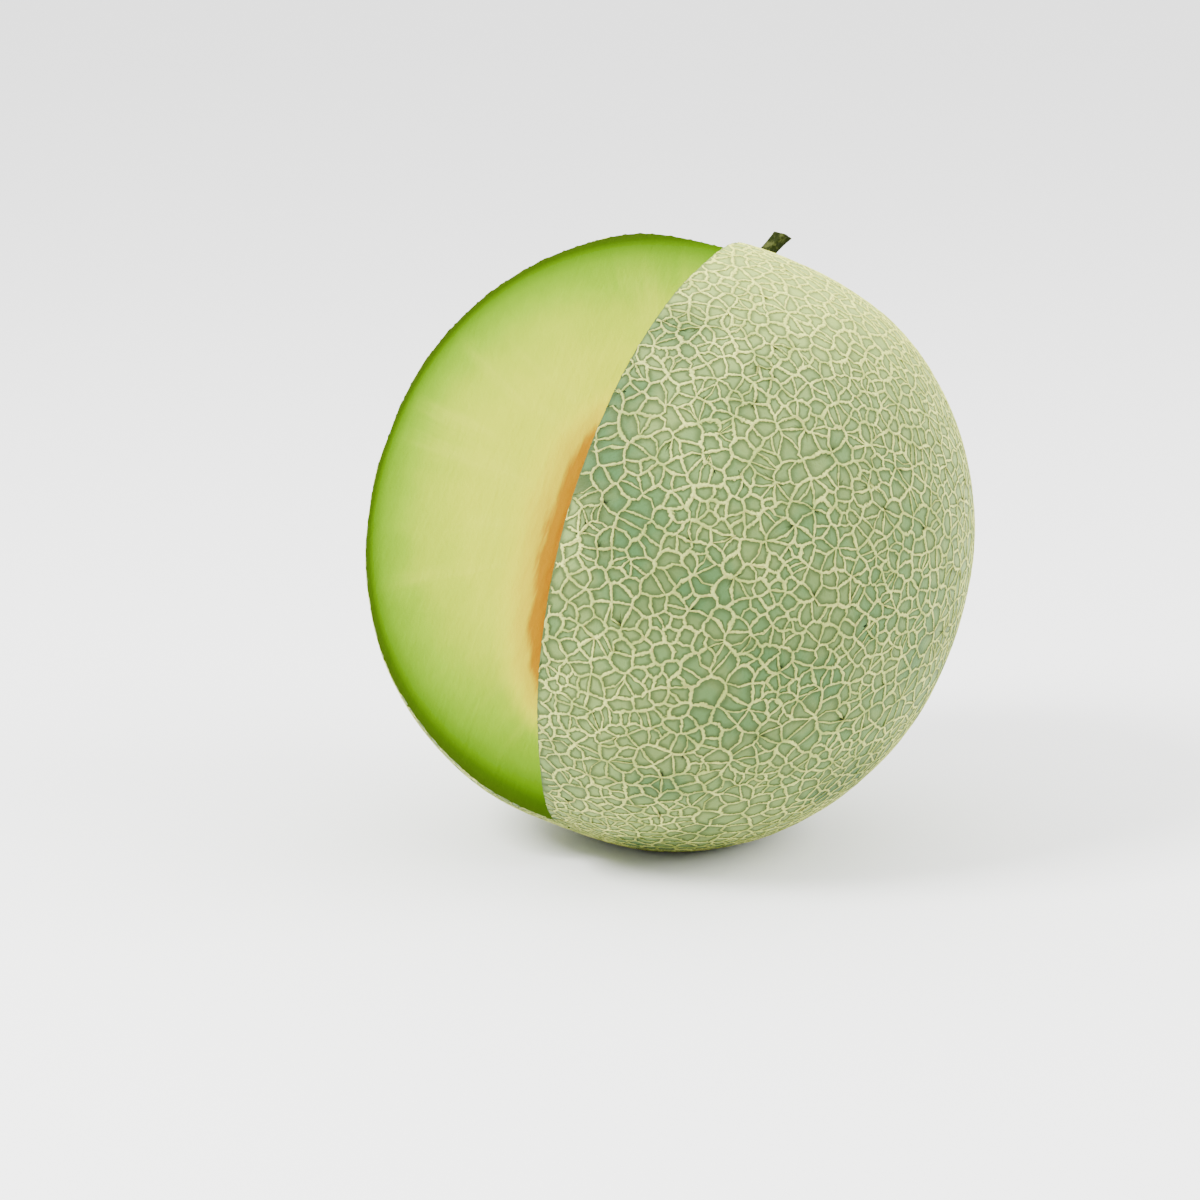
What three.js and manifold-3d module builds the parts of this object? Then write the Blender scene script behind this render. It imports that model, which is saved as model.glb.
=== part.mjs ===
// Netted honeydew melon with one wedge cut out, and its stem stub.
// Millimetres, +Z up. The origin is the middle of the flat spot the fruit rests on.
import * as THREE from "three";
import { mergeVertices } from "three/addons/utils/BufferGeometryUtils.js";
import Module from "manifold-3d";

const wasm = await Module();
wasm.setup();

// Whole fruit
const EQUATOR_RADIUS = 79.7;
const POLE_RADIUS = 82;
const FRUIT_FULLNESS = 2.09; // 2 is an ellipse, more is fuller in the shoulders
const STEM_DIMPLE_DEPTH = 3.8;
const STEM_DIMPLE_RADIUS = 41;
const BLOSSOM_DIMPLE_DEPTH = 1.4;
const BLOSSOM_DIMPLE_RADIUS = 26;
const OUTLINE_STEPS = 38;
const TURN_STEPS = 60;

// Seed cavity, on the fruit's own axis
const CAVITY_RADIUS = 28;
const CAVITY_HALF_LENGTH = 55;
const CAVITY_FULLNESS = 2.5;

// How the fruit lies: its stem axis leans over, and a small flat spot is under it
const LEAN_DEG = 28;
const LEAN_TOWARD_DEG = 45; // from +X towards +Y
const FLAT_SPOT_RADIUS = 20;

// Wedge cut out along the axis. X is right and Y is back, seen down the stem axis.
const WEDGE_TIP_X = -4;
const WEDGE_TIP_Y = -7;
const NEAR_CUT_DEG = 19.3; // left of straight forward
const FAR_CUT_DEG = 93; // left of straight forward
const NEAR_CUT_BOW = 3; // the knife bent this much halfway through
const WEDGE_REACH = 130;

// Stem stub
const STEM_RADIUS = 2.1;
const STEM_FOOT_RADIUS = 2.9;
const STEM_TIP_RADIUS = 2.4;
const STEM_HEIGHT = 10;
const STEM_BASE_X = -2.8;
const STEM_LEAN_X = 3.8; // how far the tip stands to the right of the base
const STEM_RIBS = 5;
const STEM_RIB_DEPTH = 0.16;
const PIECE_GAP = 0.3;

const radians = THREE.MathUtils.degToRad;

// Half outline of a superellipse as lathe points from the low pole to the high pole.
function halfOutline(radius, halfLength, fullness, steps) {
  const points = [];
  for (let i = 0; i <= steps; i += 1) {
    const angle = -Math.PI / 2 + (Math.PI * i) / steps;
    const across = Math.max(0, Math.cos(angle));
    const along = Math.sin(angle);
    const x = radius * Math.pow(across, 2 / fullness);
    const y = halfLength * Math.sign(along) * Math.pow(Math.abs(along), 2 / fullness);
    const onAxis = i === 0 || i === steps;
    points.push(new THREE.Vector2(onAxis ? 0 : x, y));
  }
  return points;
}

// Smooth bowl: 1 in the middle, 0 at the rim and beyond.
function bowl(distance, radius) {
  const t = Math.min(1, distance / radius);
  return (1 - t * t) ** 2;
}

// The fruit's outline with the dips at the stem end and the blossom end.
function fruitOutline(grow, steps) {
  const equator = EQUATOR_RADIUS + grow;
  const pole = POLE_RADIUS + grow;
  const points = halfOutline(equator, pole, FRUIT_FULLNESS, steps);
  for (const point of points) {
    const atStem = STEM_DIMPLE_DEPTH * bowl(point.x, STEM_DIMPLE_RADIUS);
    const atBlossom = BLOSSOM_DIMPLE_DEPTH * bowl(point.x, BLOSSOM_DIMPLE_RADIUS);
    point.y += point.y > 0 ? -atStem : atBlossom;
  }
  return points;
}

// Turns an outline into a solid of revolution about Z.
function turned(points, segments) {
  return new THREE.LatheGeometry(points, segments).rotateX(Math.PI / 2);
}

// A closed geometry as a solid that can be joined and cut.
function solid(geometry) {
  const bare = new THREE.BufferGeometry();
  bare.setAttribute("position", geometry.getAttribute("position"));
  bare.setIndex(geometry.index);
  const merged = mergeVertices(bare, 1e-3);
  const mesh = new wasm.Mesh({
    numProp: 3,
    vertProperties: merged.attributes.position.array,
    triVerts: new Uint32Array(merged.index.array),
  });
  return new wasm.Manifold(mesh);
}

// A solid back as a geometry.
function geometryOf(body) {
  const mesh = body.getMesh();
  const geometry = new THREE.BufferGeometry();
  geometry.setAttribute("position", new THREE.BufferAttribute(mesh.vertProperties, 3));
  geometry.setIndex(new THREE.BufferAttribute(mesh.triVerts, 1));
  geometry.computeVertexNormals();
  return geometry;
}

// Point at a distance from the wedge's tip, in a direction left of straight forward.
function fromTip(distance, degrees) {
  const angle = radians(degrees);
  return new THREE.Vector2(
    WEDGE_TIP_X - distance * Math.sin(angle),
    WEDGE_TIP_Y - distance * Math.cos(angle),
  );
}

// The near cut as a gently bowed line from the tip outwards.
function nearCutPoints() {
  const points = [];
  const side = new THREE.Vector2(
    Math.cos(radians(NEAR_CUT_DEG)),
    -Math.sin(radians(NEAR_CUT_DEG)),
  );
  const span = EQUATOR_RADIUS - 4;
  for (let i = 1; i <= 12; i += 1) {
    const distance = (span * i) / 10;
    const t = distance / span;
    const bow = 4 * NEAR_CUT_BOW * t * (1 - t);
    points.push(fromTip(distance, NEAR_CUT_DEG).addScaledVector(side, bow));
  }
  return points;
}

// Everything the knife takes away: a tall prism with the wedge's shape.
function wedgeGeometry() {
  const shape = new THREE.Shape();
  const near = nearCutPoints();
  const last = near[near.length - 1];
  const corner = fromTip(WEDGE_REACH, (NEAR_CUT_DEG + FAR_CUT_DEG) / 2);
  const farEnd = fromTip(WEDGE_REACH, FAR_CUT_DEG);
  shape.moveTo(farEnd.x, farEnd.y);
  shape.lineTo(WEDGE_TIP_X, WEDGE_TIP_Y);
  for (const point of near) {
    shape.lineTo(point.x, point.y);
  }
  shape.lineTo(last.x - 8, last.y - 40);
  shape.lineTo(corner.x, corner.y);
  shape.closePath();
  const depth = 2 * WEDGE_REACH;
  const geometry = new THREE.ExtrudeGeometry(shape, { depth, bevelEnabled: false });
  return geometry.translate(0, 0, -depth / 2);
}

// Where the middle of the flat spot falls in the lying fruit, before it is set down.
function flatSpotMiddle(fruit) {
  const position = fruit.getAttribute("position");
  const points = [];
  for (let i = 0; i < position.count; i += 1) {
    points.push(new THREE.Vector3().fromBufferAttribute(position, i));
  }
  const lowest = Math.min(...points.map((point) => point.z));
  const capDepth = EQUATOR_RADIUS - Math.sqrt(EQUATOR_RADIUS ** 2 - FLAT_SPOT_RADIUS ** 2);
  const level = lowest + capDepth;
  const cap = new THREE.Box3().setFromPoints(points.filter((point) => point.z < level));
  const middle = cap.getCenter(new THREE.Vector3());
  return middle.setZ(level);
}

// The stem stub as a ribbed post along Z, wider at its foot, leaning to the right.
function stemGeometry() {
  const below = 4;
  const rows = 14;
  const outline = [new THREE.Vector2(0, -below)];
  for (let i = 0; i <= rows; i += 1) {
    const height = -below + ((STEM_HEIGHT + below) * i) / rows;
    const t = Math.max(0, height) / STEM_HEIGHT;
    const foot = (STEM_FOOT_RADIUS - STEM_RADIUS) * Math.exp(-6 * t);
    const tip = (STEM_TIP_RADIUS - STEM_RADIUS) * Math.exp(-7 * (1 - t));
    outline.push(new THREE.Vector2(STEM_RADIUS + foot + tip, height));
  }
  outline.push(new THREE.Vector2(STEM_TIP_RADIUS - 0.5, STEM_HEIGHT + 0.25));
  outline.push(new THREE.Vector2(0, STEM_HEIGHT + 0.1));
  const geometry = turned(outline, 30);
  const position = geometry.getAttribute("position");
  for (let i = 0; i < position.count; i += 1) {
    const x = position.getX(i);
    const y = position.getY(i);
    const z = position.getZ(i);
    const t = z / STEM_HEIGHT;
    const rib = 1 + (STEM_RIB_DEPTH / STEM_RADIUS) * Math.cos(STEM_RIBS * Math.atan2(y, x));
    const lean = STEM_LEAN_X * (0.75 * t + 0.25 * t * Math.abs(t));
    position.setXYZ(i, x * rib + STEM_BASE_X + lean, y * rib, z);
  }
  return geometry.translate(0, 0, POLE_RADIUS - STEM_DIMPLE_DEPTH);
}

const leanAxis = new THREE.Vector3(
  -Math.sin(radians(LEAN_TOWARD_DEG)),
  Math.cos(radians(LEAN_TOWARD_DEG)),
  0,
);
const lying = new THREE.Matrix4().makeRotationAxis(leanAxis, radians(LEAN_DEG));
const spot = flatSpotMiddle(turned(fruitOutline(0, 120), 180).applyMatrix4(lying));
const setDown = new THREE.Matrix4().makeTranslation(-spot.x, -spot.y, -spot.z);
const placed = setDown.multiply(lying);

function makeMelon() {
  const whole = solid(turned(fruitOutline(0, OUTLINE_STEPS), TURN_STEPS).applyMatrix4(placed));
  const cavityOutline = halfOutline(
    CAVITY_RADIUS,
    CAVITY_HALF_LENGTH,
    CAVITY_FULLNESS,
    22,
  );
  const cavity = solid(turned(cavityOutline, 40).applyMatrix4(placed));
  const wedge = solid(wedgeGeometry().applyMatrix4(placed));
  const ground = solid(new THREE.BoxGeometry(400, 400, 40).translate(0, 0, -20));
  const body = whole.subtract(wedge).subtract(cavity).subtract(ground);
  const material = new THREE.MeshStandardMaterial({
    color: 0xb9c79a,
    roughness: 0.7,
    metalness: 0,
  });
  const mesh = new THREE.Mesh(geometryOf(body), material);
  mesh.name = "melon";
  return mesh;
}

function makeStem() {
  const post = solid(stemGeometry().applyMatrix4(placed));
  const grown = solid(turned(fruitOutline(PIECE_GAP, OUTLINE_STEPS), TURN_STEPS).applyMatrix4(placed));
  const material = new THREE.MeshStandardMaterial({
    color: 0x4a5518,
    roughness: 0.8,
    metalness: 0,
  });
  const mesh = new THREE.Mesh(geometryOf(post.subtract(grown)), material);
  mesh.name = "stem";
  return mesh;
}

const part = new THREE.Group();
part.name = "netted_honeydew_melon";
part.add(makeMelon());
part.add(makeStem());

export default part;
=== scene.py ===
"""A netted honeydew melon with one wedge cut out, and its stem stub, on a pale floor."""

import logging
import math
from dataclasses import dataclass, field
from enum import Enum

import bmesh
import bpy
import numpy as np
from mathutils import Matrix, Vector


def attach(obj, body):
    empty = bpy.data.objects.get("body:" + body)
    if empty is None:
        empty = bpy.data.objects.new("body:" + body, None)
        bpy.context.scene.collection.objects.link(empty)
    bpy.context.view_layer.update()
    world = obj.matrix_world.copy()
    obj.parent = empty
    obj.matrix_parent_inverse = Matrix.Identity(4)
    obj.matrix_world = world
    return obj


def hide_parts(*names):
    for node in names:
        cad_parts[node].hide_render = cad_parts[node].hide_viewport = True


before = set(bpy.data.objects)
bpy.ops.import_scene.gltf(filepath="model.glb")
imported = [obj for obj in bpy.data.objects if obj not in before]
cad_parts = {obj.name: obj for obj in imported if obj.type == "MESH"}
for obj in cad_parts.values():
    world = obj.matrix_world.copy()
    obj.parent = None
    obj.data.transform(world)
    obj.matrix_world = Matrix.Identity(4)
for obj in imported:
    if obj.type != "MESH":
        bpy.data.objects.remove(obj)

log = logging.getLogger("melon")
Array = np.ndarray
Socket = bpy.types.NodeSocket
Colour = tuple[float, float, float]
MM = 0.001


class Finish(Enum):
    """Material slots of the fruit's own mesh, in order."""

    RIND = 0
    FLESH = 1
    CAVITY = 2


@dataclass(frozen=True)
class FruitShape:
    """Sizes of the whole fruit in its own frame, in millimetres, with +Z along the stem axis."""

    equator: float = 79.7
    pole: float = 82.0
    fullness: float = 2.09
    stem_dip: float = 3.8
    stem_dip_radius: float = 41.0
    blossom_dip: float = 1.4
    blossom_dip_radius: float = 26.0
    cavity_radius: float = 28.0
    cavity_length: float = 55.0
    cavity_fullness: float = 2.5
    lean_deg: float = 28.0
    lean_toward_deg: float = 45.0
    centre: tuple[float, float, float] = (0.6, 0.6, 79.86)

    def rotation(self) -> Matrix:
        """Turn from the fruit's own frame to the lying fruit."""
        toward = math.radians(self.lean_toward_deg)
        axis = Vector((-math.sin(toward), math.cos(toward), 0.0))
        return Matrix.Rotation(math.radians(self.lean_deg), 3, axis)

    def place(self, points: Array) -> Array:
        """Points from the fruit's own frame in millimetres to the row frame in metres."""
        turn = np.array(self.rotation())
        return (points @ turn.T + np.array(self.centre)) * MM

    def surface(self, directions: Array, height: Array | float = 0.0) -> Array:
        """Points of the rind along unit directions.

        A superellipse of revolution with one broad dip at each end: the dip lowers a point by
        depth times the square of one minus the squared share of the dip's radius.

        Args:
            directions: Unit vectors, one per row.
            height: How far each point stands off the rind, in millimetres.

        Returns:
            Points in the fruit's own frame, in millimetres.
        """
        across = np.hypot(directions[:, 0], directions[:, 1])
        along = directions[:, 2]
        power = self.fullness
        size = (across / self.equator) ** power + (np.abs(along) / self.pole) ** power
        radius = size ** (-1.0 / power) + height
        points = directions * radius[:, None]
        spread = across * radius
        stem = self.stem_dip * np.clip(1 - (spread / self.stem_dip_radius) ** 2, 0, 1) ** 2
        blossom = np.clip(1 - (spread / self.blossom_dip_radius) ** 2, 0, 1) ** 2
        points[:, 2] += np.where(along > 0, -stem, self.blossom_dip * blossom)
        return points


@dataclass(frozen=True)
class NetSizes:
    """Sizes of the raised net on the rind, in millimetres unless said otherwise."""

    seeds: int = 8200
    keep_share: float = 0.66
    crowding: float = 0.34
    jitter: float = 0.74
    steps: int = 2
    half_width: float = 0.75
    height: float = 0.25
    wiggle: float = 0.09
    floor_dome: float = 0.08
    dead_end_share: float = 0.0
    main_share: float = 0.22
    random_seed: int = 11


@dataclass(frozen=True)
class WedgeCut:
    """The wedge taken out along the stem axis, in millimetres and degrees."""

    tip: tuple[float, float] = (-4.0, -7.0)
    near_deg: float = 19.3
    far_deg: float = 93.0
    bow: float = 3.0
    reach: float = 92.0
    half_height: float = 98.0
    grid: float = 2.6
    roughness: float = 0.1


def smooth_noise(points: Array, waves: int, length: float, seed: int) -> Array:
    """Soft random field: the mean of many sine waves with random directions and phases.

    Args:
        points: Where to read the field, one point per row.
        waves: How many waves are added.
        length: Typical wave length, in the points' unit.
        seed: Starts the random numbers.

    Returns:
        One value per point, mostly between -1 and 1.
    """
    rng = np.random.default_rng(seed)
    directions = rng.normal(size=(waves, 3))
    directions /= np.linalg.norm(directions, axis=1)[:, None]
    rates = 2 * math.pi / (length * rng.uniform(0.6, 1.7, waves))
    phases = rng.uniform(0, 2 * math.pi, waves)
    total = np.sin(points @ (directions * rates[:, None]).T + phases).sum(axis=1)
    return total / math.sqrt(waves)


def unit(vectors: Array) -> Array:
    """Vectors scaled to length one."""
    return vectors / np.maximum(np.linalg.norm(vectors, axis=-1, keepdims=True), 1e-12)


def new_object(name: str, points: Array, faces: list[Array]) -> bpy.types.Object:
    """Mesh object from points and face tables.

    Args:
        name: Object and mesh name.
        points: Vertex positions in metres.
        faces: Tables of vertex numbers, one row per face, outward side counterclockwise.

    Returns:
        The object, linked to the scene, smooth shaded.
    """
    loops = np.concatenate([table.reshape(-1) for table in faces]).astype(np.int32)
    sizes = np.concatenate([np.full(len(table), table.shape[1]) for table in faces])
    starts = np.concatenate(([0], np.cumsum(sizes)[:-1])).astype(np.int32)
    mesh = bpy.data.meshes.new(name)
    mesh.vertices.add(len(points))
    mesh.vertices.foreach_set("co", points.astype(np.float32).ravel())
    mesh.loops.add(len(loops))
    mesh.loops.foreach_set("vertex_index", loops)
    mesh.polygons.add(len(sizes))
    mesh.polygons.foreach_set("loop_start", starts)
    mesh.polygons.foreach_set("use_smooth", np.ones(len(sizes), dtype=bool))
    mesh.update(calc_edges=True)
    obj = bpy.data.objects.new(name, mesh)
    bpy.context.scene.collection.objects.link(obj)
    return obj


def grid_faces(rows: int, columns: int, start: int, wrap: bool) -> Array:
    """Quads of a grid of vertices numbered row by row.

    Args:
        rows: Number of vertex rows.
        columns: Number of vertices in a row.
        start: Number of the first vertex.
        wrap: Whether the last column joins the first.

    Returns:
        Table of quads; the outward side is up when columns run left to right and rows run down.
    """
    row, column = np.meshgrid(np.arange(rows - 1), np.arange(columns - (not wrap)), indexing="ij")
    here = (row * columns + column).ravel()
    right = (row * columns + (column + 1) % columns).ravel()
    return start + np.stack([here, here + columns, right + columns, right], axis=1)


class Nodes:
    """Short helpers to build one shader node tree."""

    def __init__(self, tree: bpy.types.NodeTree) -> None:
        """Keeps the tree that the nodes go into."""
        self.tree = tree

    def add(self, kind: str, **settings: object) -> bpy.types.Node:
        """New node of that kind with its settings."""
        node = self.tree.nodes.new(kind)
        for name, value in settings.items():
            setattr(node, name, value)
        return node

    def feed(self, socket: Socket, value: object) -> None:
        """Links a socket to the value when it is an output, and sets it otherwise."""
        if isinstance(value, bpy.types.NodeSocket):
            self.tree.links.new(value, socket)
        elif socket.type == "RGBA":
            socket.default_value = (*value[:3], 1.0)
        elif value is not None:
            socket.default_value = value

    def math(self, operation: str, a: object, b: object = None, c: object = None) -> Socket:
        """Result of one arithmetic step."""
        node = self.add("ShaderNodeMath", operation=operation)
        for socket, value in zip(node.inputs, (a, b, c)):
            self.feed(socket, value)
        return node.outputs[0]

    def vector(self, operation: str, a: object, b: object = None) -> bpy.types.Node:
        """One vector step."""
        node = self.add("ShaderNodeVectorMath", operation=operation)
        self.feed(node.inputs[0], a)
        self.feed(node.inputs[1], b)
        return node

    def span(self, value: object, low: float, high: float, start: float = 0.0,
             end: float = 1.0) -> Socket:
        """Value moved smoothly from one range to another and held at both ends."""
        node = self.add("ShaderNodeMapRange", interpolation_type="SMOOTHSTEP")
        for socket, number in zip(node.inputs, (value, low, high, start, end)):
            self.feed(socket, number)
        return node.outputs[0]

    def mix(self, share: object, a: object, b: object, blend: str = "MIX") -> Socket:
        """Two colours mixed."""
        node = self.add("ShaderNodeMix", data_type="RGBA", blend_type=blend)
        self.feed(node.inputs[0], share)
        self.feed(node.inputs[6], a)
        self.feed(node.inputs[7], b)
        return node.outputs[2]

    def ramp(self, value: object, stops: tuple[tuple[float, Colour], ...]) -> Socket:
        """Colour read off a ramp of stops."""
        node = self.add("ShaderNodeValToRGB")
        elements = node.color_ramp.elements
        while len(elements) < len(stops):
            elements.new(0.5)
        for element, (place, colour) in zip(elements, stops):
            element.position = place
            element.color = (*colour, 1.0)
        self.feed(node.inputs[0], value)
        return node.outputs[0]

    def noise(self, where: object, scale: float, detail: float = 2.0,
              roughness: float = 0.5) -> Socket:
        """Soft noise value read at a point."""
        node = self.add("ShaderNodeTexNoise")
        self.feed(node.inputs["Vector"], where)
        node.inputs["Scale"].default_value = scale
        node.inputs["Detail"].default_value = detail
        node.inputs["Roughness"].default_value = roughness
        return node.outputs[0]

    def bump(self, height: Socket, distance: float, strength: float = 1.0) -> Socket:
        """Normal bent by a height, with the distance in metres."""
        node = self.add("ShaderNodeBump")
        node.inputs["Strength"].default_value = strength
        node.inputs["Distance"].default_value = distance
        self.feed(node.inputs["Height"], height)
        return node.outputs[0]


@dataclass(frozen=True)
class FruitSpaceGroup:
    """Shader group that reads a point's place in the fruit."""

    shape: FruitShape

    def build(self) -> bpy.types.NodeTree:
        """Group with outputs for depth under the rind and above the cavity.

        Returns:
            Node group. "Depth" is millimetres under the rind, "Lining" is millimetres outside
            the seed cavity, "Height" is the share of the way to a pole, and "Local" is the
            point in the fruit's own frame in millimetres.
        """
        tree = bpy.data.node_groups.new("fruit space", "ShaderNodeTree")
        for name, kind in (("Depth", "Float"), ("Lining", "Float"), ("Height", "Float"),
                           ("Local", "Vector")):
            tree.interface.new_socket(name, in_out="OUTPUT", socket_type="NodeSocket" + kind)
        n = Nodes(tree)
        shape = self.shape
        place = n.add("ShaderNodeTexCoord").outputs["Object"]
        from_centre = n.vector("SUBTRACT", place, tuple(c * MM for c in shape.centre)).outputs[0]
        rows = []
        for axis in shape.rotation().transposed():
            scaled = tuple(component / MM for component in axis)
            rows.append(n.vector("DOT_PRODUCT", from_centre, scaled).outputs["Value"])
        joined = n.add("ShaderNodeCombineXYZ")
        for socket, row in zip(joined.inputs, rows):
            n.feed(socket, row)
        flat = n.math("SQRT", n.math("ADD", n.math("MULTIPLY", rows[0], rows[0]),
                                     n.math("MULTIPLY", rows[1], rows[1])))
        high = n.math("ABSOLUTE", rows[2])

        def share(radius: float, length: float, power: float) -> Socket:
            """How far out a point is: 1 on the superellipse."""
            a = n.math("POWER", n.math("DIVIDE", flat, radius), power)
            b = n.math("POWER", n.math("DIVIDE", high, length), power)
            return n.math("POWER", n.math("ADD", a, b), 1.0 / power)

        outer = share(shape.equator, shape.pole, shape.fullness)
        inner = share(shape.cavity_radius, shape.cavity_length, shape.cavity_fullness)
        out = n.add("NodeGroupOutput")
        far = n.math("SQRT", n.math("ADD", n.math("MULTIPLY", flat, flat),
                                    n.math("MULTIPLY", high, high)))
        n.feed(out.inputs["Depth"], n.math("MULTIPLY", far, n.math(
            "SUBTRACT", n.math("DIVIDE", 1.0, outer), 1.0)))
        n.feed(out.inputs["Lining"], n.math("MULTIPLY", far, n.math(
            "SUBTRACT", 1.0, n.math("DIVIDE", 1.0, inner))))
        n.feed(out.inputs["Height"], n.math("DIVIDE", rows[2], shape.pole))
        n.feed(out.inputs["Local"], joined.outputs[0])
        return tree


def fresh_material(name: str) -> tuple[bpy.types.Material, Nodes, bpy.types.Node]:
    """New node material.

    Args:
        name: Material name.

    Returns:
        The material, its node helper and its principled shader.
    """
    material = bpy.data.materials.new(name)
    material.use_nodes = True
    return material, Nodes(material.node_tree), material.node_tree.nodes["Principled BSDF"]


@dataclass(frozen=True)
class RindFinish:
    """Sage-green rind floor with a raised cream net, painted paler towards the limbs as painted light mixed
    with a real colour patch, and with painted shade at the ridge feet and flanks.
    """

    ridge: Colour = (0.42, 0.455, 0.125)
    # Ridge colour where the rind turns away from the painted shade side: painted light at the limbs, partly a
    # real paler patch.
    ridge_pale_painted_light: Colour = (0.68, 0.73, 0.185)
    ridge_stem: Colour = (0.86, 0.92, 0.17)
    # Greener ridge tone for random patches, also used as painted shade on the ridge flanks.
    ridge_green_and_flank_shade: Colour = (0.27, 0.34, 0.075)
    speck: Colour = (0.27, 0.165, 0.06)
    # Painted shade in the crease at the foot of each ridge.
    foot: Colour = (0.042, 0.066, 0.020)
    floor: Colour = (0.095, 0.148, 0.045)
    floor_green: Colour = (0.060, 0.130, 0.044)
    # Cell floor colour for the same painted light at the limbs, partly a real paler patch.
    floor_pale_painted_light: Colour = (0.27, 0.36, 0.10)
    floor_stem: Colour = (0.37, 0.47, 0.095)
    # The rind facing this direction keeps its darker painted shade; rind turned away from it is painted paler.
    painted_shade_side: tuple[float, float, float] = (0.45, -0.89, -0.05)
    centre: tuple[float, float, float] = (0.0006, 0.0006, 0.0799)
    roughness: float = 0.62
    relief: float = 0.0006

    def build(self, space: bpy.types.NodeTree) -> bpy.types.Material:
        """Material that reads the net's own attribute.

        Args:
            space: The fruit space group.

        Returns:
            The rind material.
        """
        material, n, shader = fresh_material("netted rind")
        where = n.add("ShaderNodeGroup", node_tree=space)
        local = where.outputs["Local"]
        net = n.add("ShaderNodeAttribute", attribute_name="net").outputs["Fac"]
        fine = n.noise(local, 1.4, 3.0, 0.6)
        broad = n.noise(local, 0.028, 2.0)
        patch = n.noise(local, 0.085, 3.0)
        grain = n.math("MULTIPLY", n.math("SUBTRACT", fine, 0.5), 1.3)
        edge = n.math("ADD", net, grain)
        stem_end = n.span(where.outputs["Height"], 0.45, 0.98)
        start = n.math("SUBTRACT", 0.26, n.math("MULTIPLY", stem_end, 0.25))
        is_ridge = n.span(edge, start, n.math("ADD", start, 0.24))
        # Painted light and shade: the rind is paler the further it faces away from the painted shade side,
        # gated by broad random noise, so the paleness is painted light at the limbs mixed with a real colour
        # patch.
        outward = n.vector("NORMALIZE", n.vector(
            "SUBTRACT", n.add("ShaderNodeTexCoord").outputs["Object"],
            self.centre).outputs[0]).outputs[0]
        facing = n.vector("DOT_PRODUCT", outward, self.painted_shade_side).outputs["Value"]
        facing = n.math("ADD", facing, n.math("MULTIPLY", n.math("SUBTRACT", broad, 0.5), 0.3))
        pale = n.math("MULTIPLY", n.span(facing, 0.96, 0.6, 0.25, 1.0), n.span(broad, 0.3, 0.6))
        green = n.mix(n.span(patch, 0.4, 0.6), self.floor, self.floor_green)
        floor = n.mix(n.math("MULTIPLY", pale, 0.75), green, self.floor_pale_painted_light)
        floor = n.mix(stem_end, floor, self.floor_stem)
        # Painted shade: the cell floor darkens towards the foot of each ridge, where the ridge shades the
        # crease, half as much near the stem.
        foot = n.math("MULTIPLY", n.span(net, -0.6, 0.05, 0.0, 0.75),
                      n.math("SUBTRACT", 1.0, n.math("MULTIPLY", stem_end, 0.5)))
        floor = n.mix(foot, floor, self.foot)
        ridge = n.mix(pale, self.ridge, self.ridge_pale_painted_light)
        ridge = n.mix(n.span(n.noise(local, 0.16, 2.0), 0.4, 0.66, 0.0, 0.8), ridge,
                      self.ridge_green_and_flank_shade)
        ridge = n.mix(stem_end, ridge, self.ridge_stem)
        # Painted shade on the ridge flanks: the ridge colour turns to the greener, darker tone where the net
        # falls off towards the foot.
        painted_flank_shade = n.span(edge, 0.62, 0.2, 0.0, 0.45)
        ridge = n.mix(painted_flank_shade, ridge, self.ridge_green_and_flank_shade)
        ridge = n.mix(n.span(fine, 0.56, 0.38, 0.0, 0.5), ridge, self.ridge_green_and_flank_shade)
        crack = n.math("MULTIPLY", n.span(net, 0.78, 0.94),
                       n.span(n.noise(local, 0.34, 3.0, 0.6), 0.5, 0.6, 0.0, 0.65))
        ridge = n.mix(crack, ridge, self.speck)
        specks = n.span(n.noise(local, 0.55, 4.0, 0.7), 0.6, 0.74, 0.0, 0.55)
        ridge = n.mix(specks, ridge, self.speck)
        n.feed(shader.inputs["Base Color"], n.mix(is_ridge, floor, ridge))
        n.feed(shader.inputs["Roughness"], n.span(is_ridge, 0.0, 1.0, 0.5, self.roughness))
        strand = n.math("ADD", n.math("MULTIPLY", is_ridge, 0.35), n.span(net, 0.0, 0.85, 0.0, 0.9))
        height = n.math("ADD", strand, n.math("MULTIPLY", fine, 0.55))
        n.feed(shader.inputs["Normal"], n.bump(height, self.relief, 0.85))
        shader.inputs["Specular IOR Level"].default_value = 0.06
        return material


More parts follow.
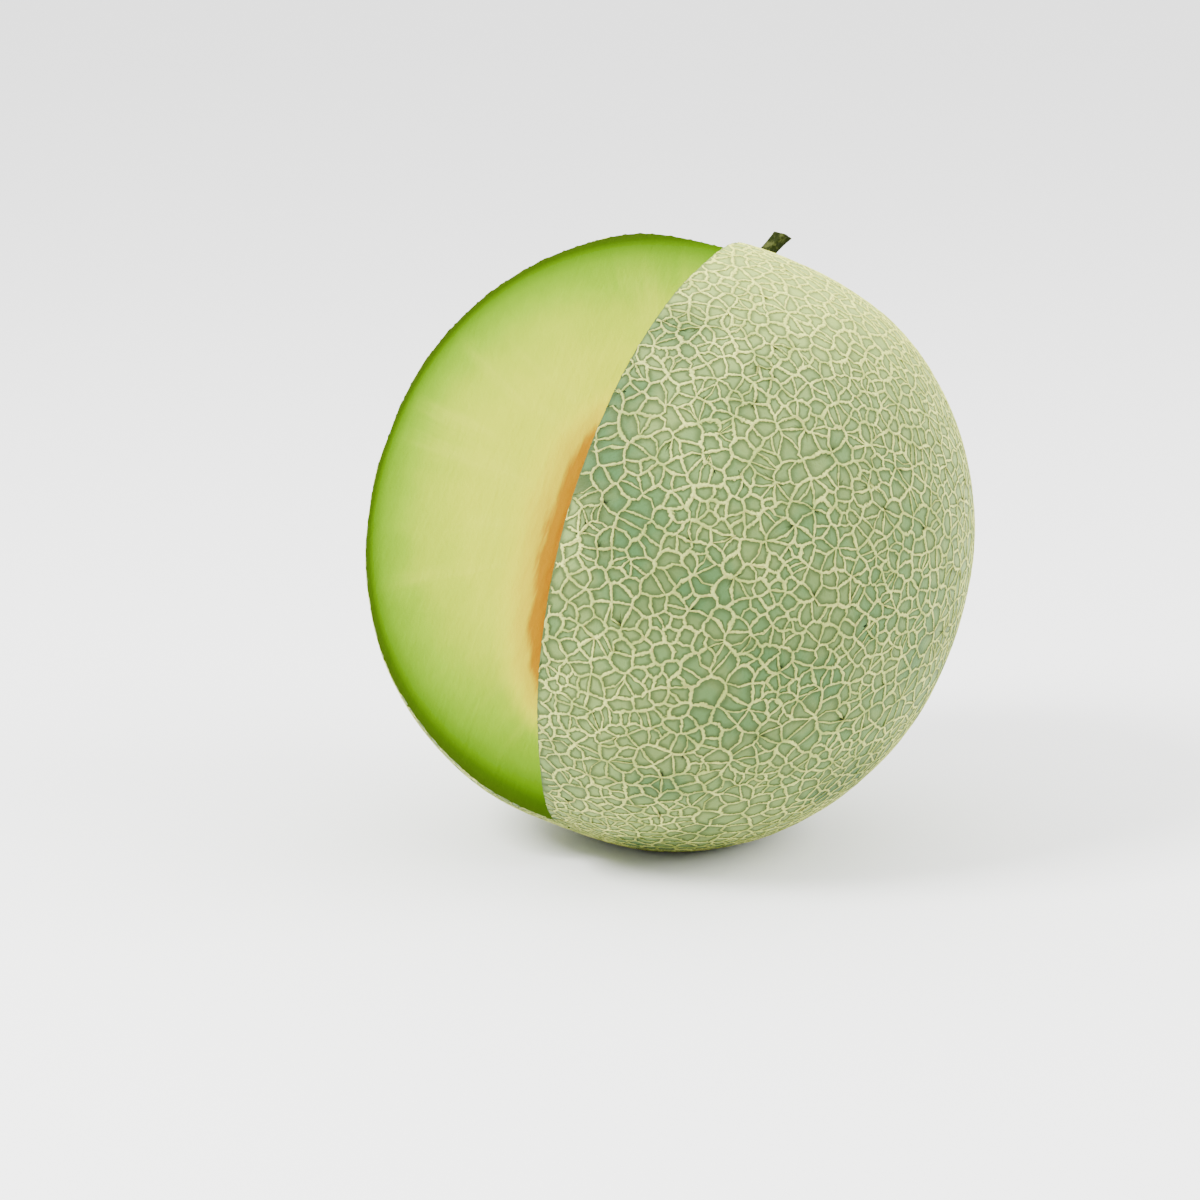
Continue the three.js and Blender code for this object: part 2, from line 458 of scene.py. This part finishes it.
@dataclass(frozen=True)
class FleshFinish:
    """Wet cut flesh, green under the rind and yellow towards the orange cavity lining."""

    outer: tuple[tuple[float, Colour], ...] = (
        (0.0, (0.030, 0.056, 0.003)),
        (0.016, (0.034, 0.078, 0.001)),
        (0.036, (0.070, 0.165, 0.0)),
        (0.075, (0.125, 0.255, 0.0)),
        (0.16, (0.205, 0.345, 0.0)),
        (0.30, (0.335, 0.435, 0.0)),
        (0.5, (0.455, 0.52, 0.0)),
        (1.0, (0.52, 0.54, 0.0)),
    )
    cream: Colour = (0.58, 0.55, 0.0)
    fibre: Colour = (0.60, 0.62, 0.03)
    gold: Colour = (0.50, 0.385, 0.0)
    orange: Colour = (0.32, 0.145, 0.0)
    deep: Colour = (0.25, 0.085, 0.0)
    strand: Colour = (0.62, 0.53, 0.03)
    cut_relief: float = 0.0003
    lining_relief: float = 0.0006

    def build(self, name: str, space: bpy.types.NodeTree, lining: bool) -> bpy.types.Material:
        """Material coloured by depth, on cut faces or on the cavity wall.

        Args:
            name: Material name.
            space: The fruit space group.
            lining: True for the wall of the seed cavity.

        Returns:
            The flesh material.
        """
        material, n, shader = fresh_material(name)
        where = n.add("ShaderNodeGroup", node_tree=space)
        local = where.outputs["Local"]
        ray = n.vector("NORMALIZE", local).outputs[0]
        streak = n.noise(ray, 7.0, 4.0, 0.6)
        cloud = n.noise(local, 0.09, 3.0, 0.55)
        veins = n.noise(n.vector("MULTIPLY", local, (0.9, 0.9, 0.16)).outputs[0], 0.6, 3.0, 0.6)
        polar = n.math("POWER", n.math("ABSOLUTE", n.math(
            "SUBTRACT", where.outputs["Height"], 0.07)), 2.0)
        thin = n.math("SUBTRACT", 1.0, n.math("MULTIPLY", polar, 0.75))
        sway = n.math("MULTIPLY", n.math("SUBTRACT", cloud, 0.5), 9.0)
        depth = n.math("MULTIPLY", where.outputs["Depth"], thin)
        soft = n.span(depth, 1.0, 12.0)
        depth = n.math("ADD", depth, n.math("MULTIPLY", sway, soft))
        base = n.ramp(n.math("DIVIDE", depth, 50.0), self.outer)
        light = n.span(streak, 0.46, 0.72, 0.0, 0.3)
        base = n.mix(n.math("MULTIPLY", light, soft), base, self.fibre)
        near = n.math("ADD", where.outputs["Lining"],
                      n.math("MULTIPLY", n.math("SUBTRACT", veins, 0.5), 5.0))
        away = n.math("ABSOLUTE", n.math("ADD", where.outputs["Height"], 0.22))
        near = n.math("ADD", near, n.span(away, 0.36, 0.86, 0.0, 16.0))
        base = n.mix(n.span(near, 17.0, 8.0, 0.0, 0.85), base, self.cream)
        base = n.mix(n.span(near, 12.0, 5.5, 0.0, 0.9), base, self.gold)
        base = n.mix(n.span(near, 6.2, 3.2), base, self.orange)
        base = n.mix(n.span(near, 2.8, -0.5, 0.0, 0.7), base, self.deep)
        if lining:
            base = n.mix(n.span(veins, 0.36, 0.6), self.gold, self.strand)
            base = n.mix(n.span(cloud, 0.42, 0.7, 0.0, 0.4), base, self.orange)
        n.feed(shader.inputs["Base Color"], base)
        n.feed(shader.inputs["Roughness"], n.span(cloud, 0.3, 0.7, 0.3, 0.46))
        shader.inputs["Subsurface Weight"].default_value = 0.12
        shader.inputs["Subsurface Radius"].default_value = (1.0, 0.9, 0.25)
        shader.inputs["Subsurface Scale"].default_value = 0.003
        shader.inputs["IOR"].default_value = 1.38
        shader.inputs["Specular IOR Level"].default_value = 0.03
        height = n.math("ADD", veins, n.math("MULTIPLY", n.noise(local, 1.1, 3.0), 0.5))
        n.feed(shader.inputs["Normal"], n.bump(height, self.lining_relief if lining else self.cut_relief, 0.6))
        return material


@dataclass(frozen=True)
class StemFinish:
    """Dull dark olive stem with paler corky patches and a dry cut end."""

    dark: Colour = (0.012, 0.018, 0.002)
    pale: Colour = (0.065, 0.075, 0.02)
    cork: Colour = (0.45, 0.44, 0.14)
    end: Colour = (0.17, 0.17, 0.05)

    def build(self) -> bpy.types.Material:
        """Material that reads the stem's own "end" and "foot" attributes."""
        material, n, shader = fresh_material("stem")
        place = n.add("ShaderNodeTexCoord").outputs["Object"]
        patch = n.noise(place, 420.0, 4.0, 0.65)
        fibre = n.noise(n.vector("MULTIPLY", place, (3.0, 3.0, 0.6)).outputs[0], 700.0, 3.0)
        base = n.mix(n.span(patch, 0.48, 0.66, 0.0, 0.85), self.dark, self.pale)
        foot = n.add("ShaderNodeAttribute", attribute_name="foot").outputs["Fac"]
        end = n.add("ShaderNodeAttribute", attribute_name="end").outputs["Fac"]
        base = n.mix(n.span(foot, 0.3, 0.9), base, self.cork)
        base = n.mix(n.span(end, 0.4, 0.7), base, self.end)
        n.feed(shader.inputs["Base Color"], base)
        shader.inputs["Roughness"].default_value = 0.72
        shader.inputs["Specular IOR Level"].default_value = 0.05
        height = n.math("ADD", fibre, patch)
        n.feed(shader.inputs["Normal"], n.bump(height, 0.0003, 0.8))
        return material


@dataclass
class Net:
    """Vertices, faces and net attribute of the whole netted rind, before it is cut."""

    shape: FruitShape
    sizes: NetSizes = field(default_factory=NetSizes)

    def seeds(self) -> Array:
        """Uneven unit directions, one in the middle of each net cell.

        An even spiral of points, each moved at random, thinned at random, and thinned less
        near the stem, so cells are small there and uneven elsewhere.
        """
        sizes = self.sizes
        rng = np.random.default_rng(sizes.random_seed)
        count = sizes.seeds
        index = np.arange(count) + 0.5
        polar = np.arccos(1 - 2 * index / count)
        turn = math.pi * (1 + math.sqrt(5)) * index
        points = np.stack([np.sin(polar) * np.cos(turn), np.sin(polar) * np.sin(turn),
                           np.cos(polar)], axis=1)
        spacing = math.sqrt(4 * math.pi / count)
        points = unit(points + rng.normal(size=points.shape) * spacing * sizes.jitter * 0.5)
        crowd = sizes.crowding * np.exp(-((polar / math.radians(32)) ** 2))
        clumps = 0.16 * smooth_noise(points, 24, 0.5, sizes.random_seed + 1)
        keep = rng.random(count) < sizes.keep_share + crowd + clumps
        return points[keep]

    def triangles(self, points: Array) -> Array:
        """Triangles of the hull of unit directions, outward side counterclockwise."""
        hull = bmesh.new()
        for point in points.tolist():
            hull.verts.new(point)
        hull.verts.index_update()
        bmesh.ops.convex_hull(hull, input=hull.verts[:])
        bmesh.ops.triangulate(hull, faces=hull.faces[:])
        table = np.array([[v.index for v in face.verts] for face in hull.faces])
        hull.free()
        corners = points[table]
        normal = np.cross(corners[:, 1] - corners[:, 0], corners[:, 2] - corners[:, 0])
        inward = (normal * corners.sum(axis=1)).sum(axis=1) < 0
        table[inward] = table[inward][:, ::-1]
        return table

    def build(self) -> bpy.types.Object:
        """Mesh of rounded ridges round every cell.

        Each cell's outline follows the lines half way between neighbouring seeds. Along it run
        a crest row, shared with the neighbour, and a foot row set in by the ridge's half width;
        one point in the middle closes the cell's floor. The "net" attribute is the ridge's
        strength on the crest, 0 at the foot and -1 in the middle of the floor.

        Returns:
            The whole netted fruit, closed, at its place.
        """
        sizes = self.sizes
        rng = np.random.default_rng(sizes.random_seed + 5)
        seeds = self.seeds()
        tris = self.triangles(seeds)
        used, numbers = np.unique(tris, return_inverse=True)
        seeds, tris = seeds[used], numbers.reshape(tris.shape)
        count = len(tris)
        a, b, c = (seeds[tris[:, k]] for k in range(3))
        corner = unit(np.cross(b - a, c - a))
        start = tris.ravel()
        end = tris[:, [1, 2, 0]].ravel()
        half = np.arange(3 * count)
        lookup = dict(zip(zip(start.tolist(), end.tolist()), half.tolist()))
        twin = np.array([lookup[key] for key in zip(end.tolist(), start.tolist())])
        tri_of = half // 3
        previous = tri_of * 3 + (half + 2) % 3
        following = previous[twin]
        first = half < twin
        edge_number = np.zeros(3 * count, dtype=int)
        edge_number[first] = np.arange(first.sum())
        edge_number[~first] = edge_number[twin[~first]]
        owner = half[first]
        from_corner, to_corner = tri_of[owner], tri_of[twin[owner]]
        steps = sizes.steps
        edges = len(owner)

        strength = rng.uniform(0.72, 1.0, edges)
        main = rng.random(edges) < sizes.main_share
        width = sizes.half_width * rng.uniform(0.62, 1.1, edges) * np.where(main, 1.4, 1.0)
        inner = np.repeat(strength[:, None], steps - 1, axis=1)
        weak = np.flatnonzero(rng.random(edges) < sizes.dead_end_share)
        inner[weak] *= rng.choice([0.0, 0.85], size=(len(weak), steps - 1), p=[0.72, 0.28])

        share = np.arange(1, steps)[None, :, None] / steps
        low, high = corner[from_corner][:, None], corner[to_corner][:, None]
        line = low * (1 - share) + high * share
        length = np.linalg.norm(high - low, axis=2)
        side = unit(np.cross(low, high - low))
        sway = rng.normal(size=(edges, steps - 1)) * sizes.wiggle * length
        middle = unit(line + side * sway[..., None])

        crest_points = np.concatenate([corner, middle.reshape(-1, 3)])
        corner_strength = np.zeros(count)
        np.maximum.at(corner_strength, from_corner, strength)
        np.maximum.at(corner_strength, to_corner, strength)
        crest_strength = np.concatenate([corner_strength, inner.ravel()])

        forward = first[:, None]
        place = np.arange(steps - 1)[None, :]
        slot = np.where(forward, place, steps - 2 - place)
        inside = count + edge_number[:, None] * (steps - 1) + slot
        crest = np.concatenate([tri_of[:, None], inside], axis=1)
        crest_next = np.concatenate([crest[:, 1:], tri_of[twin][:, None]], axis=1)
        foot_start = len(crest_points)
        foot = foot_start + half[:, None] * steps + np.arange(steps)[None, :]
        foot_next = np.concatenate([foot[:, 1:], foot[following][:, :1]], axis=1)

        cell = end
        cells = len(seeds)
        total = np.zeros((cells, 3))
        np.add.at(total, cell, corner[tri_of])
        middle_of_cell = unit(total)
        centre_start = foot_start + len(half) * steps

        radius = self.shape.equator
        edge_width = width[edge_number]
        corner_width = 0.5 * (edge_width + edge_width[twin][np.argsort(following)][half]) / radius
        widths = np.repeat((edge_width / radius)[:, None], steps, axis=1)
        widths[:, 0] = corner_width
        here = crest_points[crest]
        to_middle = middle_of_cell[cell][:, None] - here
        away = np.linalg.norm(to_middle, axis=2)
        widths[:, 0] *= 1.12
        move = np.minimum(widths, 0.55 * away) / np.maximum(away, 1e-9)
        foot_points = unit(here + to_middle * move[..., None])

        points = np.concatenate([crest_points, foot_points.reshape(-1, 3), middle_of_cell])
        height = np.zeros(len(points))
        height[:foot_start] = sizes.height * crest_strength
        height[centre_start:] = sizes.floor_dome
        net = np.zeros(len(points))
        net[:foot_start] = crest_strength
        net[centre_start:] = -1.0
        gone = crest_strength < 0.01
        net[:foot_start][gone] = -0.7
        net[foot_start:centre_start] = np.where(gone[crest].ravel(), -0.7, 0.0)
        swell = 0.14 * smooth_noise(points, 40, 0.35, sizes.random_seed + 9)
        placed = self.shape.place(self.shape.surface(points, height + swell))
        placed[:, 2] = np.maximum(placed[:, 2], 0.0)

        quads = np.stack([crest, crest_next, foot_next, foot], axis=2).reshape(-1, 4)
        middle_index = np.repeat((centre_start + cell)[:, None], steps, axis=1)
        floors = np.stack([foot, foot_next, middle_index], axis=2).reshape(-1, 3)
        obj = new_object("melon_fruit", placed, [quads, floors])
        attribute = obj.data.attributes.new("net", "FLOAT", "POINT")
        attribute.data.foreach_set("value", net.astype(np.float32))
        return obj


@dataclass
class Fruit:
    """The cut melon: netted rind, cut flesh and open seed cavity in one closed mesh."""

    shape: FruitShape = field(default_factory=FruitShape)
    cut: WedgeCut = field(default_factory=WedgeCut)

    def wedge(self) -> bpy.types.Object:
        """The knife's wedge as a closed prism with finely divided, slightly uneven sides."""
        cut = self.cut
        tip = np.array(cut.tip)

        def ray(degrees: float) -> Array:
            """Unit direction left of straight forward."""
            angle = math.radians(degrees)
            return np.array([-math.sin(angle), -math.cos(angle)])

        along = np.arange(cut.grid, cut.reach, cut.grid)
        span = self.shape.equator - 4.0
        share = along / span
        right = np.array([math.cos(math.radians(cut.near_deg)),
                          -math.sin(math.radians(cut.near_deg))])
        near = tip + along[:, None] * ray(cut.near_deg)
        near = near + (4 * cut.bow * share * (1 - share))[:, None] * right
        far = (tip + along[:, None] * ray(cut.far_deg))[::-1]
        corners = tip + np.array([ray(34.0) * 150, ray(56.0) * 170, ray(78.0) * 150])
        ring = np.concatenate([far, tip[None], near, corners])
        heights = np.arange(-cut.half_height, cut.half_height + 0.1, cut.grid)
        grid = np.empty((len(heights), len(ring), 3))
        grid[..., :2] = ring
        grid[..., 2] = heights[:, None]
        points = grid.reshape(-1, 3)
        uneven = smooth_noise(points, 40, 16.0, 3) + 0.5 * smooth_noise(points, 40, 6.0, 4)
        points = points + cut.roughness * uneven[:, None] * np.array([0.6, 0.8, 0.0])
        sides = grid_faces(len(heights), len(ring), 0, True)[:, ::-1]
        caps = np.array([[len(points), i, (i + 1) % len(ring)] for i in range(len(ring))])
        top = len(points) - len(ring)
        lower = caps[:, [0, 2, 1]]
        upper = np.stack([np.full(len(ring), len(points) + 1), top + caps[:, 1],
                          top + caps[:, 2]], axis=1)
        middle = np.array([-45.0, -40.0])
        ends = np.array([[*middle, heights[0]], [*middle, heights[-1]]])
        points = self.shape.place(np.concatenate([points, ends]))
        tables = [table[:, ::-1] for table in (sides, lower, upper)]
        return new_object("wedge", points, tables)

    def cavity(self) -> bpy.types.Object:
        """The seed cavity as a closed, stringy superellipsoid."""
        shape = self.shape
        rows, columns = 72, 120
        polar = np.linspace(0, math.pi, rows + 2)[1:-1]
        turn = np.linspace(0, 2 * math.pi, columns, endpoint=False)
        power = 2 / shape.cavity_fullness
        across = shape.cavity_radius * np.sin(polar) ** power
        along = shape.cavity_length * np.sign(np.cos(polar)) * np.abs(np.cos(polar)) ** power
        base = np.empty((rows, columns, 3))
        base[..., 0] = across[:, None] * np.cos(turn)
        base[..., 1] = across[:, None] * np.sin(turn)
        base[..., 2] = along[:, None]
        points = base.reshape(-1, 3)
        strings = smooth_noise(points * np.array([1.0, 1.0, 0.35]), 50, 4.2, 7)
        lumps = smooth_noise(points, 40, 17.0, 8)
        grow = 1 + (0.55 * strings + 0.9 * lumps)[:, None] / shape.cavity_radius
        points = points * grow
        ends = np.array([[0, 0, shape.cavity_length], [0, 0, -shape.cavity_length]])
        number = rows * columns
        column = np.arange(columns)
        following = (column + 1) % columns
        top = np.stack([np.full(columns, number), column, following], axis=1)
        last = number - columns
        low = np.stack([np.full(columns, number + 1), last + following, last + column], axis=1)
        sides = grid_faces(rows, columns, 0, True)
        points = shape.place(np.concatenate([points, ends]))
        return new_object("cavity", points, [sides, top, low])

    def build(self) -> bpy.types.Object:
        """Cuts the wedge and the cavity out of the netted fruit and dresses it."""
        space = FruitSpaceGroup(self.shape).build()
        flesh = FleshFinish()
        finishes = {
            Finish.RIND: RindFinish().build(space),
            Finish.FLESH: flesh.build("cut flesh", space, False),
            Finish.CAVITY: flesh.build("cavity lining", space, True),
        }
        whole = Net(self.shape).build()
        cutters = {Finish.FLESH: self.wedge(), Finish.CAVITY: self.cavity()}
        whole.data.materials.append(finishes[Finish.RIND])
        for finish, cutter in cutters.items():
            cutter.data.materials.append(finishes[finish])
            step = whole.modifiers.new(finish.name.lower(), "BOOLEAN")
            step.operation = "DIFFERENCE"
            step.object = cutter
            step.solver = "MANIFOLD"
            step.material_mode = "TRANSFER"
        graph = bpy.context.evaluated_depsgraph_get()
        mesh = bpy.data.meshes.new_from_object(whole.evaluated_get(graph))
        mesh.name = "melon_fruit_cut"
        whole.modifiers.clear()
        whole.data = mesh
        for cutter in cutters.values():
            bpy.data.objects.remove(cutter, do_unlink=True)
        self.keep_one_of_each(mesh, list(finishes.values()))
        self.sharpen(mesh)
        log.info("fruit: %d faces, materials %s, attributes %s", len(mesh.polygons),
                 [m.name for m in mesh.materials], [x.name for x in mesh.attributes])
        return whole

    @staticmethod
    def keep_one_of_each(mesh: bpy.types.Mesh, order: list[bpy.types.Material]) -> None:
        """Rewrites the mesh's material slots so that each finish has one slot, in order."""
        names = [m.name if m else "" for m in mesh.materials]
        index = np.zeros(len(mesh.polygons), dtype=np.int32)
        mesh.polygons.foreach_get("material_index", index)
        new_slot = np.array([[m.name for m in order].index(name) if name else 0
                             for name in names])
        index = new_slot[np.clip(index, 0, len(names) - 1)].astype(np.int32)
        mesh.materials.clear()
        for material in order:
            mesh.materials.append(material)
        mesh.polygons.foreach_set("material_index", index)

    @staticmethod
    def sharpen(mesh: bpy.types.Mesh) -> None:
        """Keeps every face smooth but marks the edges where one finish meets another as sharp."""
        work = bmesh.new()
        work.from_mesh(mesh)
        for face in work.faces:
            face.smooth = True
        for edge in work.edges:
            faces = edge.link_faces
            if len(faces) == 2 and faces[0].material_index != faces[1].material_index:
                edge.smooth = False
            elif len(faces) == 2 and faces[0].material_index == Finish.FLESH.value:
                edge.smooth = edge.calc_face_angle(0.0) < math.radians(35)
        work.to_mesh(mesh)
        work.free()


@dataclass
class Stem:
    """The short stem stub with ribs, a corky foot and a dry cut end, sizes in millimetres."""

    shape: FruitShape = field(default_factory=FruitShape)
    radius: float = 2.05
    foot_radius: float = 3.6
    tip_radius: float = 2.45
    height: float = 10.0
    below: float = 1.2
    base_x: float = -2.8
    lean_x: float = 3.8
    ribs: int = 5
    rib_depth: float = 0.2
    rows: int = 70
    columns: int = 72

    def build(self) -> bpy.types.Object:
        """Closed post of rings that lean to the right, cut flat with a sunk pith at the tip."""
        share = np.linspace(0, 1, self.rows)
        height = -self.below + (self.height + self.below) * share
        lift = np.maximum(height, 0) / self.height
        radius = (self.radius + (self.foot_radius - self.radius) * np.exp(-7 * lift)
                  + (self.tip_radius - self.radius) * np.exp(-8 * (1 - lift)))
        inward = np.array([0.92, 0.78, 0.55, 0.3, 0.12])
        sunk = np.array([0.12, 0.1, -0.02, -0.2, -0.28])
        radius = np.concatenate([radius, self.tip_radius * inward])
        height = np.concatenate([height, self.height + sunk])
        turn = np.linspace(0, 2 * math.pi, self.columns, endpoint=False)
        ribbed = 1 + self.rib_depth / self.radius * np.cos(self.ribs * turn + 0.6)
        points = np.empty((len(height), self.columns, 3))
        points[..., 0] = radius[:, None] * np.cos(turn) * ribbed
        points[..., 1] = radius[:, None] * np.sin(turn) * ribbed
        points[..., 2] = height[:, None]
        flat = points.reshape(-1, 3)
        rough = smooth_noise(flat * np.array([1, 1, 0.4]), 40, 1.5, 21) * 0.09
        flat[:, :2] *= 1 + (rough / self.radius)[:, None]
        reach = flat[:, 2] / self.height
        flat[:, 0] += self.base_x + self.lean_x * (0.75 * reach + 0.25 * reach * np.abs(reach))
        middle = np.array([[self.base_x + self.lean_x, 0, self.height - 0.3],
                           [self.base_x, 0, -self.below]])
        number = len(flat)
        column = np.arange(self.columns)
        following = (column + 1) % self.columns
        last = number - self.columns
        top = np.stack([last + column, last + following, np.full(self.columns, number)], axis=1)
        low = np.stack([following, column, np.full(self.columns, number + 1)], axis=1)
        sides = grid_faces(len(height), self.columns, 0, True)[:, ::-1]
        every = np.concatenate([flat, middle])
        every[:, 2] += self.shape.pole - self.shape.stem_dip
        obj = new_object("stem_stub", self.shape.place(every), [sides, top, low])
        end = np.zeros(len(every))
        end[self.rows * self.columns:] = 1.0
        end[-1] = 0.0
        foot = np.concatenate([np.repeat(np.exp(-9 * np.append(lift, np.ones(5))), self.columns),
                               [0.0, 1.0]])
        for name, values in (("end", end), ("foot", foot)):
            attribute = obj.data.attributes.new(name, "FLOAT", "POINT")
            attribute.data.foreach_set("value", values.astype(np.float32))
        obj.data.materials.append(StemFinish().build())
        return obj


@dataclass(frozen=True)
class Studio:
    """Pale floor, soft lights and the camera."""

    distance: float = 1.0
    elevation_deg: float = 12.0
    lens: float = 112.9
    aim: tuple[float, float, float] = (0.0006, 0.0006, 0.0799)
    shift: tuple[float, float] = (-0.0583, -0.05)
    bright_side: tuple[float, float, float] = (0.0, 0.55, 0.835)
    bright_from: float = -0.35
    bright_to: float = 0.95
    world_strength: tuple[float, float] = (0.65, 3.3)
    key_place: tuple[float, float, float] = (-0.85, -0.5, 1.05)
    key_size: float = 0.5
    key_power: float = 44.0
    fill_place: tuple[float, float, float] = (1.1, -0.25, 0.75)
    fill_size: float = 0.9
    fill_power: float = 26.0
    floor_size: float = 12.0

    def floor(self) -> bpy.types.Object:
        """Large pale floor under the object."""
        bpy.ops.mesh.primitive_plane_add(size=self.floor_size, location=(0, 0, -0.0002))
        plane = bpy.context.active_object
        plane.name = "floor"
        material, n, shader = fresh_material("floor")
        place = n.add("ShaderNodeTexCoord").outputs["Object"]
        tone = n.mix(n.noise(place, 3.0), (0.9, 0.9, 0.9, 1.0), (0.92, 0.92, 0.915, 1.0))
        n.feed(shader.inputs["Base Color"], tone)
        shader.inputs["Roughness"].default_value = 0.9
        plane.data.materials.append(material)
        return plane

    def light(self, name: str, place: tuple[float, float, float], size: float,
              power: float) -> None:
        """One square lamp aimed at the fruit."""
        lamp = bpy.data.lights.new(name, "AREA")
        lamp.size = size
        lamp.energy = power
        obj = bpy.data.objects.new(name, lamp)
        obj.location = place
        toward = Vector(self.aim) - Vector(place)
        obj.rotation_euler = toward.to_track_quat("-Z", "Y").to_euler()
        bpy.context.scene.collection.objects.link(obj)

    def build(self) -> None:
        """Builds the floor, lights, world and camera."""
        self.floor()
        world = bpy.data.worlds.new("studio")
        world.use_nodes = True
        n = Nodes(world.node_tree)
        background = world.node_tree.nodes["Background"]
        background.inputs[0].default_value = (1.0, 1.0, 1.0, 1.0)
        facing = n.vector("DOT_PRODUCT", n.add("ShaderNodeTexCoord").outputs["Generated"],
                          self.bright_side).outputs["Value"]
        n.feed(background.inputs[1], n.span(facing, self.bright_from, self.bright_to,
                                            *self.world_strength))
        bpy.context.scene.world = world
        self.light("key", self.key_place, self.key_size, self.key_power)
        self.light("fill", self.fill_place, self.fill_size, self.fill_power)
        camera = bpy.data.cameras.new("camera")
        camera.lens = self.lens
        camera.shift_x, camera.shift_y = self.shift
        obj = bpy.data.objects.new("camera", camera)
        rise = math.radians(self.elevation_deg)
        offset = Vector((0.0, -math.cos(rise), math.sin(rise))) * self.distance
        obj.location = Vector(self.aim) + offset
        obj.rotation_euler = (-offset).to_track_quat("-Z", "Y").to_euler()
        bpy.context.scene.collection.objects.link(obj)
        bpy.context.scene.camera = obj


def main() -> None:
    """Builds the pieces in order and reports them."""
    logging.basicConfig(level=logging.INFO, format="%(message)s")
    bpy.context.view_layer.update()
    shape = FruitShape()
    fruit = Fruit(shape).build()
    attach(fruit, "root")
    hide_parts("melon")
    stem = Stem(shape).build()
    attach(stem, "root")
    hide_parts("stem")
    Studio().build()
    for piece in (fruit, stem):
        piece.data.calc_loop_triangles()
        log.info("%s: %d triangles", piece.name, len(piece.data.loop_triangles))
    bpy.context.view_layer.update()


if __name__ == "__main__":
    main()
